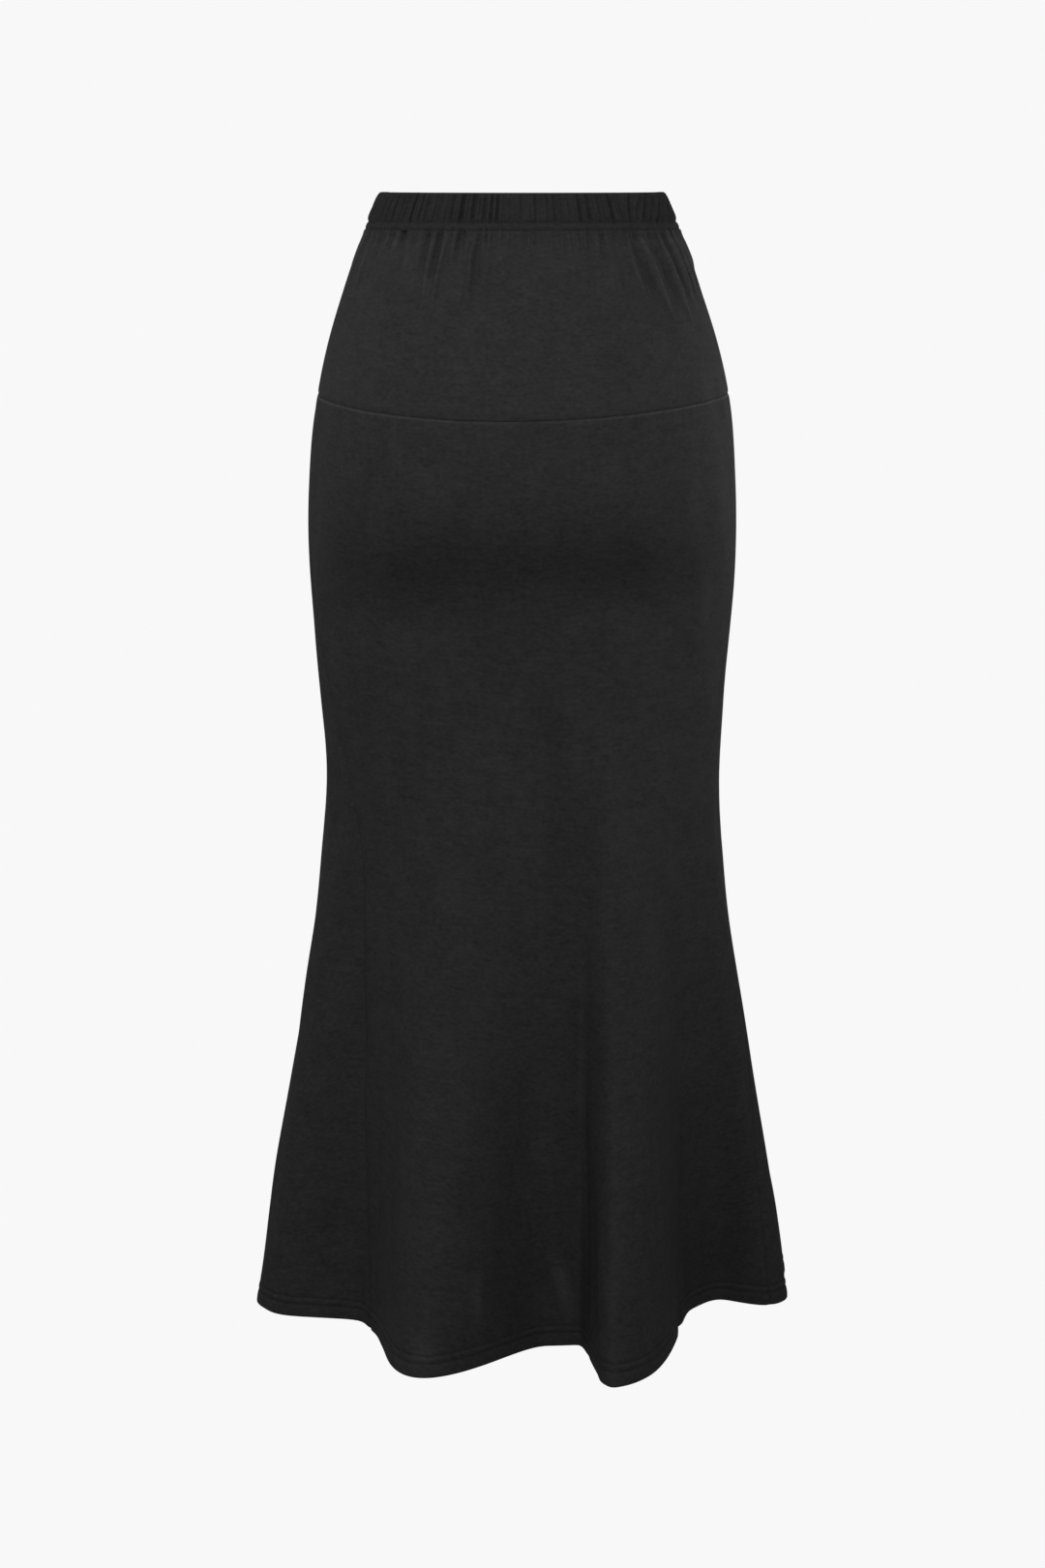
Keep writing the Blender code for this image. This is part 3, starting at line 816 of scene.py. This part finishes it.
def stitch_row(row, level, relief, start, end):
    """One row of stitches at a height over a level, as capsules that lie in their groove.

    Each is a ring of points swept through the stations: its two ends dip into the
    cloth, and its middle stands a little proud.
    """
    at_seams, at_middle = row + level(np.array([start, (start + end) / 2]))
    length = ring_length(at_seams, start, end)
    count = int(length / STITCH_PITCH)
    middles = (np.arange(count) + 0.5) / count
    shares = middles[:, None] + STATIONS * STITCH_LENGTH / length
    angle = spread(at_middle, start, end, shares)
    z = row + level(angle)
    centres = moved_out(z, angle, relief(z, angle) + STATION_LIFTS)
    outward = moved_out(z, angle, np.ones_like(z)) - moved_out(z, angle, np.zeros_like(z))
    turn = np.arange(THREAD_SIDES) * FULL_TURN / THREAD_SIDES
    upward = np.array([0.0, 0.0, 1.0])
    return centres[:, :, None, :] + STATION_RADII[:, None, None] * (
        np.cos(turn)[:, None] * outward[:, :, None, :] + np.sin(turn)[:, None] * upward
    )


def stitch_faces(count):
    """Faces of count capsules: a band of quads between each two stations, and at both
    ends a six-sided cap of two quads."""
    ring = np.arange(THREAD_SIDES)
    after = (ring + 1) % THREAD_SIDES
    starts = THREAD_SIDES * np.arange(len(STATIONS))
    bands = [
        np.stack([ring + low, after + low, after + high, ring + high], axis=1)
        for low, high in zip(starts[:-1], starts[1:])
    ]
    first_cap = np.array([[0, 3, 2, 1], [0, 5, 4, 3]])
    last_cap = np.array([[0, 1, 2, 3], [0, 3, 4, 5]]) + starts[-1]
    one = np.concatenate([*bands, first_cap, last_cap])
    each = THREAD_SIDES * len(STATIONS) * np.arange(count)
    return (one[None] + each[:, None, None]).reshape(-1, 4)


def topstitching(name, rows, level, relief, start, end, material):
    """Rows of stitches over a level as one piece, with the way along and round the thread
    as its lengths."""
    rings = np.concatenate([stitch_row(row, level, relief, start, end) for row in rows])
    count = len(rings)
    along = (STATIONS + 0.5) * STITCH_LENGTH
    around = np.arange(THREAD_SIDES) / THREAD_SIDES * FULL_TURN * THREAD
    lengths = np.stack(np.meshgrid(along, around, indexing="ij"), axis=-1)
    lengths = np.broadcast_to(lengths, (count,) + lengths.shape).reshape(-1, 2)
    return write_mesh(name, rings.reshape(-1, 3), stitch_faces(count), lengths, material)


# ------------------------ materials
class Value:
    """A socket in a node tree that Python's operators work on."""

    def __init__(self, graph, socket):
        self.graph = graph
        self.socket = socket

    def maths(self, operation, *operands):
        numbers = dict(enumerate((self,) + operands))
        return self.graph.node("Math", {"operation": operation}, numbers)

    def __add__(self, other):
        return self.maths("ADD", other)

    __radd__ = __add__

    def __mul__(self, other):
        return self.maths("MULTIPLY", other)

    __rmul__ = __mul__

    def __sub__(self, other):
        return self.maths("SUBTRACT", other)

    def __rsub__(self, other):
        return -1.0 * self + other

    def __truediv__(self, other):
        return self.maths("DIVIDE", other)

    def sine(self):
        return self.maths("SINE")

    def part(self):
        return self.maths("FRACT")

    def size(self):
        return self.maths("ABSOLUTE")


class Graph:
    """The node tree of a material or a world, filled by one method."""

    def __init__(self, owner):
        owner.use_nodes = True
        self.tree = owner.node_tree

    def node(self, kind, settings, sockets, output=0):
        """Adds a node: its settings first, then the values or links of its sockets."""
        made = self.tree.nodes.new("ShaderNode" + kind)
        for name, value in settings.items():
            setattr(made, name, value)
        self.fill(made, sockets)
        return Value(self, made.outputs[output])

    def fill(self, node, sockets):
        """Gives sockets, named or numbered, their numbers or their links."""
        for name, value in sockets.items():
            if isinstance(value, Value):
                self.tree.links.new(value.socket, node.inputs[name])
            else:
                node.inputs[name].default_value = value

    def shader(self, sockets):
        """Fills the material's own shader."""
        self.fill(self.tree.nodes["Principled BSDF"], sockets)

    def grain(self):
        """How far a point is along the cloth, in metres: across, and down."""
        return self.node("UVMap", {"uv_map": "grain"}, {})

    def place(self):
        """A point's place in its object, which is its place in the world too."""
        return self.node("TexCoord", {}, {}, output="Object")

    def parts(self, vector):
        """The x, y and z of a vector."""
        split = self.node("SeparateXYZ", {}, {"Vector": vector}).socket.node
        return [Value(self, output) for output in split.outputs]

    def noise(self, vector, scale, detail):
        """Soft noise about a half, with this many cells in each unit of its vector."""
        sockets = {"Vector": vector, "Scale": scale, "Detail": detail, "Roughness": 0.55}
        return self.node("TexNoise", {}, sockets)

    def stretch(self, value, low, high, interpolation="LINEAR"):
        """Nought up to the low value, one from the high value on."""
        sockets = {"Value": value, "From Min": low, "From Max": high}
        return self.node("MapRange", {"interpolation_type": interpolation}, sockets)

    def fade(self, distance):
        """One in the middle, and nought from a distance of one on."""
        return 1.0 - self.stretch(distance, 0.0, 1.0, "SMOOTHSTEP")

    def bump(self, height, strength, distance):
        """A normal tilted by a height, of which one stands for this distance."""
        sockets = {"Strength": strength, "Distance": distance, "Height": height}
        return self.node("Bump", {}, sockets)

    def shade(self, factor, first, second):
        """A colour between two, each a colour or another node's, through Mix."""
        first, second = (
            colour if isinstance(colour, Value) else (*colour, 1.0) for colour in (first, second)
        )
        sockets = {0: factor, 6: first, 7: second}
        return self.node("Mix", {"data_type": "RGBA"}, sockets, output=2)


# The pieces' black jersey: the darker and the lighter colour of its streaks, and how
# rough it is, which changes a little with them
Jersey = namedtuple("Jersey", "dark light roughness")
CASING_JERSEY = Jersey((0.0142, 0.0142, 0.0146), (0.0240, 0.0240, 0.0246), 0.80)
YOKE_JERSEY = Jersey((0.0175, 0.0175, 0.0182), (0.0290, 0.0290, 0.0298), 0.78)
PANEL_JERSEY = Jersey((0.0160, 0.0160, 0.0166), (0.0272, 0.0272, 0.0280), 0.78)
ROUGHNESS_RANGE = 0.1
JERSEY_SHINE = 0.05

# The knit: how wide a wale is and how tall a course, how wide and tall its short and
# long streaks are, how wide its clouds are, and how many specks of fuzz are in a metre
WALE = 0.00072
COURSE = 0.00058
SHORT_STREAK = (0.0042, 0.0026)
LONG_STREAK = (0.0126, 0.00624)
CLOUD = 0.030
FUZZ = 2200.0

# The stretch of the streaks' noise that goes from dark to light, and the knit's relief
MOTTLE_RANGE = (0.36, 0.64)
KNIT_RELIEF = 0.0002
KNIT_STRENGTH = 0.35

# The sewing thread: its colours, the length of a turn of its twist, and its relief
THREAD_COLOURS = ((0.012,) * 3, (0.022,) * 3)
THREAD_TWIST = 0.0006
THREAD_RELIEF = 0.00005
THREAD_STRENGTH = 0.5
THREAD_ROUGHNESS = 0.7
THREAD_SHINE = 0.1

# The colour of the painted highlights and sheen, where light would catch the cloth: wholly so where a
# streak is light and by a share where it is dark
PAINTED_HIGHLIGHT_COLOUR = (0.046, 0.046, 0.0475)
HIGHLIGHT_IN_DARK_STREAKS = 0.4

# Painted sheen: pale spots where light catches the back panel's creases above its hem.
# x is at a crease's middle height, and lean is how far it goes across for each metre up.
Crease = namedtuple("Crease", "name x z lean wide tall strength")
CREASE_HIGHLIGHTS = (
    Crease("left", -0.0366, -0.868, 0.0, 0.0140, 0.090, 0.42),
    Crease("right", 0.0330, -0.874, -0.24, 0.0200, 0.088, 0.55),
    Crease("left_flute", -0.0805, -0.906, 0.0, 0.0300, 0.034, 0.50),
)

# A panel gets a painted highlight where the yoke's seam turns its upper edge up to the light:
# how far below the edge, how wide, how much at the centre, and how much more this far out at the hips
EDGE_HIGHLIGHT_BELOW = 0.0019
EDGE_HIGHLIGHT_WIDTH = 0.0028
EDGE_HIGHLIGHT = 0.08
EDGE_HIGHLIGHT_AT_HIPS = 0.80
HIP_DISTANCE = 0.15

# A fold's crest on the yoke gets painted sheen, as if lit, from where it stands out by the
# first of these, and most from the second on.
CREST_SHEEN = (0.0004, 0.0026)


def yoke_painted_sheen(graph):
    """A mask of the yoke's painted sheen: the crests of its folds, painted paler as if lit, more with
    the square of the way out to the hips."""
    x, _, _ = graph.parts(graph.place())
    crest = graph.node("Attribute", {"attribute_name": "crest"}, {}, output="Fac")
    hip = x / HIP_DISTANCE
    return graph.stretch(crest, *CREST_SHEEN, "SMOOTHSTEP") * hip * hip


def panel_painted_highlights(graph, creases=()):
    """A mask of a panel's painted highlights: its upper edge, and soft spots of painted sheen on its
    creases.
    """
    x, _, z = graph.parts(graph.place())
    _, down, _ = graph.parts(graph.grain())
    edge = graph.fade((down - EDGE_HIGHLIGHT_BELOW).size() / (EDGE_HIGHLIGHT_WIDTH / 2))
    mask = edge * (EDGE_HIGHLIGHT + EDGE_HIGHLIGHT_AT_HIPS * x.size() / HIP_DISTANCE)
    for crease in creases:
        above = z - crease.z
        across = (x - crease.x - crease.lean * above).size() / (crease.wide / 2)
        along = above.size() / (crease.tall / 2)
        mask = mask + crease.strength * graph.fade(across) * graph.fade(along)
    return mask


def back_panel_painted_highlights(graph):
    """The back panel's mask of painted highlights, with the painted sheen of its creases."""
    return panel_painted_highlights(graph, CREASE_HIGHLIGHTS)


def streaks(graph, size):
    """Noise stretched along the cloth, with cells as wide and as tall as this size."""
    scale = (1 / size[0], 1 / size[1], 1)
    sockets = {"Vector": graph.grain(), "Scale": scale}
    return graph.noise(graph.node("Mapping", {}, sockets), 1.0, 2.0)


def jersey(name, cloth, painted_highlights=None):
    """Black single jersey: knit loops in relief, short streaks along the courses.

    The loops are a sine wave down the cloth, bent to a V within each wale, and the
    wales are a sine wave across it.  The last argument makes the mask of the places where the
    cloth is painted paler with highlights and sheen, as if light caught it.
    """
    material = bpy.data.materials.new(name)
    graph = Graph(material)
    across, down, _ = graph.parts(graph.grain())
    wale = across / WALE
    leg = (wale.part() - 0.5).size()
    loops = (FULL_TURN * (down / COURSE + leg)).sine()
    ribs = (FULL_TURN * wale).sine()
    knit = 0.5 * loops + 0.5 * ribs

    clouds = graph.noise(graph.grain(), 1 / CLOUD, 3.0)
    mottle = 0.5 * streaks(graph, SHORT_STREAK) + 0.3 * streaks(graph, LONG_STREAK) + 0.2 * clouds
    lightness = graph.stretch(mottle, *MOTTLE_RANGE)
    fuzz = graph.noise(graph.grain(), FUZZ, 2.0)
    colour = graph.shade(lightness, cloth.dark, cloth.light)
    # Painted highlights and sheen: the cloth's colour is mixed towards a pale one where light would
    # catch it.
    if painted_highlights:
        in_streaks = HIGHLIGHT_IN_DARK_STREAKS + (1 - HIGHLIGHT_IN_DARK_STREAKS) * lightness
        colour = graph.shade(painted_highlights(graph) * in_streaks, colour, PAINTED_HIGHLIGHT_COLOUR)
    graph.shader(
        {
            "Base Color": colour,
            "Roughness": cloth.roughness + ROUGHNESS_RANGE * (mottle - 0.5),
            "Normal": graph.bump(knit + 0.6 * fuzz + 0.8 * mottle, KNIT_STRENGTH, KNIT_RELIEF),
            "Specular IOR Level": JERSEY_SHINE,
        }
    )
    return material


def sewing_thread():
    """Black thread, a little smoother than the jersey: its twist is a slanting sine wave."""
    material = bpy.data.materials.new("sewing_thread")
    graph = Graph(material)
    along, around, _ = graph.parts(graph.grain())
    twist = (FULL_TURN * (along / THREAD_TWIST + around / (FULL_TURN * THREAD))).sine()
    graph.shader(
        {
            "Base Color": graph.shade(0.5 + 0.5 * twist, *THREAD_COLOURS),
            "Roughness": THREAD_ROUGHNESS,
            "Specular IOR Level": THREAD_SHINE,
            "Normal": graph.bump(twist, THREAD_STRENGTH, THREAD_RELIEF),
        }
    )
    return material


# ------------------------ the skirt
# What each shown piece was cut to: the widest of its cut and its length, in metres,
# and its flat area in square metres
Cut = namedtuple("Cut", "flat area held")
PANEL_BACK_CUT = Cut((0.690, 0.790), 0.3660, "hung")
PANEL_FRONT_CUT = Cut((0.960, 0.790), 0.4660, "hung")


def add_cloth(name, node, grids, material):
    """One shell in its solid's place, with the solid hidden."""
    piece = cloth_piece(name, grids, material)
    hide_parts(node)


def build_skirt():
    """The six shells and their topstitching."""
    casing = jersey("casing_jersey_knit", CASING_JERSEY)
    yoke = jersey("yoke_jersey_knit", YOKE_JERSEY, yoke_painted_sheen)
    panels = {
        "back": jersey("back_panel_jersey_knit", PANEL_JERSEY, back_panel_painted_highlights),
        "front": jersey("front_panel_jersey_knit", PANEL_JERSEY, panel_painted_highlights),
    }
    thread = sewing_thread()
    for half, start, end in (("back", -QUARTER, QUARTER), ("front", QUARTER, 3 * QUARTER)):
        sewing = topstitching(
            "casing_stitching_" + half,
            STITCH_ROWS_OF_CASING,
            casing_level,
            casing_relief,
            start,
            end,
            thread,
        )
        add_cloth(
            "gathered_casing_" + half,
            "casing_" + half,
            casing_grids(start, end),
            casing,
        )
        add_cloth(
            "hip_yoke_" + half,
            "yoke_" + half,
            yoke_grids(start, end),
            yoke,
        )
    left, right = (side_seam(HEM, side) for side in ("left", "right"))
    for half, sides, turns, ends, cut in (
        ("back", ("left", "right"), (0, 0), (left, right), PANEL_BACK_CUT),
        ("front", ("right", "left"), (0, FULL_TURN), (right, left + FULL_TURN), PANEL_FRONT_CUT),
    ):
        sewing = topstitching(
            "hem_stitching_" + half, STITCH_ROWS_OF_HEM, hem_level, panel_relief, *ends, thread
        )
        add_cloth(
            "fishtail_panel_" + half,
            "panel_" + half,
            panel_grids(*sides, *turns, PANEL_STEPS[half]),
            panels[half],
        )


# ------------------------ the studio
CAMERA_PLACE = (0.0, -2.8, 0.036)
CAMERA_AIM = (0.0, 0.0, -0.4755)
LENS_MM = 77.71
SENSOR_MM = 36.0
FLOOR = -1.45
FLOOR_SIZE = 60.0
WHITE = (1.0, 1.0, 1.0, 1.0)

# How bright the wall and the floor are seen, how bright the room's light is, and how
# much of that light the floor sends back
PALE = 0.939
ROOM_LIGHT = 0.268
FLOOR_COLOUR = 0.1

# The lamps: their sizes in metres, their powers in watts, and their beams in degrees
Lamp = namedtuple("Lamp", "name place aim size power beam")
LAMPS = (
    Lamp("front_high", (0.0, -2.4, 1.4), (0.0, 0.0, -0.3), (1.6, 1.2), 38.2, 180.0),
    Lamp("left_high", (-1.3, -1.2, 1.3), (0.0, 0.0, -0.3), (1.0, 1.0), 6.67, 180.0),
    Lamp("right_high", (1.3, -1.2, 1.3), (0.0, 0.0, -0.3), (1.0, 1.0), 5.93, 180.0),
    Lamp("left_near", (-0.9, -0.9, 0.6), (0.0, 0.0, -0.2), (0.6, 0.6), 2.68, 180.0),
    Lamp("left_side", (-1.2, -0.3, 0.3), (-0.1, 0.0, -0.2), (0.5, 0.5), 2.21, 180.0),
    Lamp("right_side", (1.4, -0.3, 0.0), (0.1, 0.0, -0.3), (0.4, 0.6), 0.338, 35.0),
    Lamp("right_rim", (0.6, 0.2, -0.12), (0.15, 0.0, -0.2), (0.3, 0.4), 1.05, 180.0),
    Lamp("left_back", (-1.0, 0.5, 0.0), (-0.15, 0.0, -0.25), (0.5, 0.8), 2.1, 180.0),
    Lamp("low", (0.0, -2.2, -1.3), (0.0, 0.0, -0.7), (2.0, 1.0), 0.88, 180.0),
)


def aim(thing, place, target):
    """Puts the camera or a lamp in its place, level and turned towards its target."""
    thing.location = place
    ahead = Vector(target) - Vector(place)
    thing.rotation_euler = ahead.to_track_quat("-Z", "Y").to_euler()


def add_camera():
    """The camera, which looks a little down on the skirt."""
    data = bpy.data.cameras.new("camera")
    data.sensor_fit = "VERTICAL"
    data.sensor_height = SENSOR_MM
    data.lens = LENS_MM
    camera = put("camera", data)
    aim(camera, CAMERA_PLACE, CAMERA_AIM)
    bpy.context.scene.camera = camera


def add_lamps():
    """Soft rectangular lamps, which light the skirt alone so that the floor stays even."""
    lit = bpy.data.collections.new("lit_by_lamps")
    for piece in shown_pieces():
        lit.objects.link(piece)
    for lamp in LAMPS:
        data = bpy.data.lights.new(lamp.name, "AREA")
        data.shape = "RECTANGLE"
        data.size, data.size_y = lamp.size
        data.energy = lamp.power
        data.spread = np.radians(lamp.beam)
        made = put(lamp.name, data)
        aim(made, lamp.place, lamp.aim)
        made.light_linking.receiver_collection = lit


def add_floor():
    """A plain pale floor far below the hem, as bright as the wall behind it.

    It glows by what the light that it sends back leaves short of the wall.
    """
    edge = FLOOR_SIZE / 2
    mesh = bpy.data.meshes.new("floor")
    corners = [(-edge, -edge, FLOOR), (edge, -edge, FLOOR), (edge, edge, FLOOR), (-edge, edge, FLOOR)]
    mesh.from_pydata(corners, [], [(0, 1, 2, 3)])
    material = bpy.data.materials.new("pale_floor")
    Graph(material).shader(
        {
            "Base Color": (FLOOR_COLOUR,) * 3 + (1.0,),
            "Roughness": 1.0,
            "Specular IOR Level": 0.0,
            "Emission Color": WHITE,
            "Emission Strength": PALE - FLOOR_COLOUR * ROOM_LIGHT,
        }
    )
    mesh.materials.append(material)
    floor = put("floor", mesh)
    floor.visible_diffuse = False
    floor.visible_glossy = False


def add_daylight():
    """Even soft light from all round, and the pale wall that the camera sees instead."""
    world = bpy.data.worlds.new("studio")
    bpy.context.scene.world = world
    graph = Graph(world)
    room, wall = (
        graph.node("Background", {}, {"Color": WHITE, "Strength": strength})
        for strength in (ROOM_LIGHT, PALE)
    )
    seen = graph.node("LightPath", {}, {}, output="Is Camera Ray")
    shown = graph.node("MixShader", {}, {0: seen, 1: room, 2: wall})
    graph.fill(graph.tree.nodes["World Output"], {"Surface": shown})


bpy.context.scene.view_settings.view_transform = "Standard"
add_camera()
build_skirt()
add_lamps()
add_floor()
add_daylight()
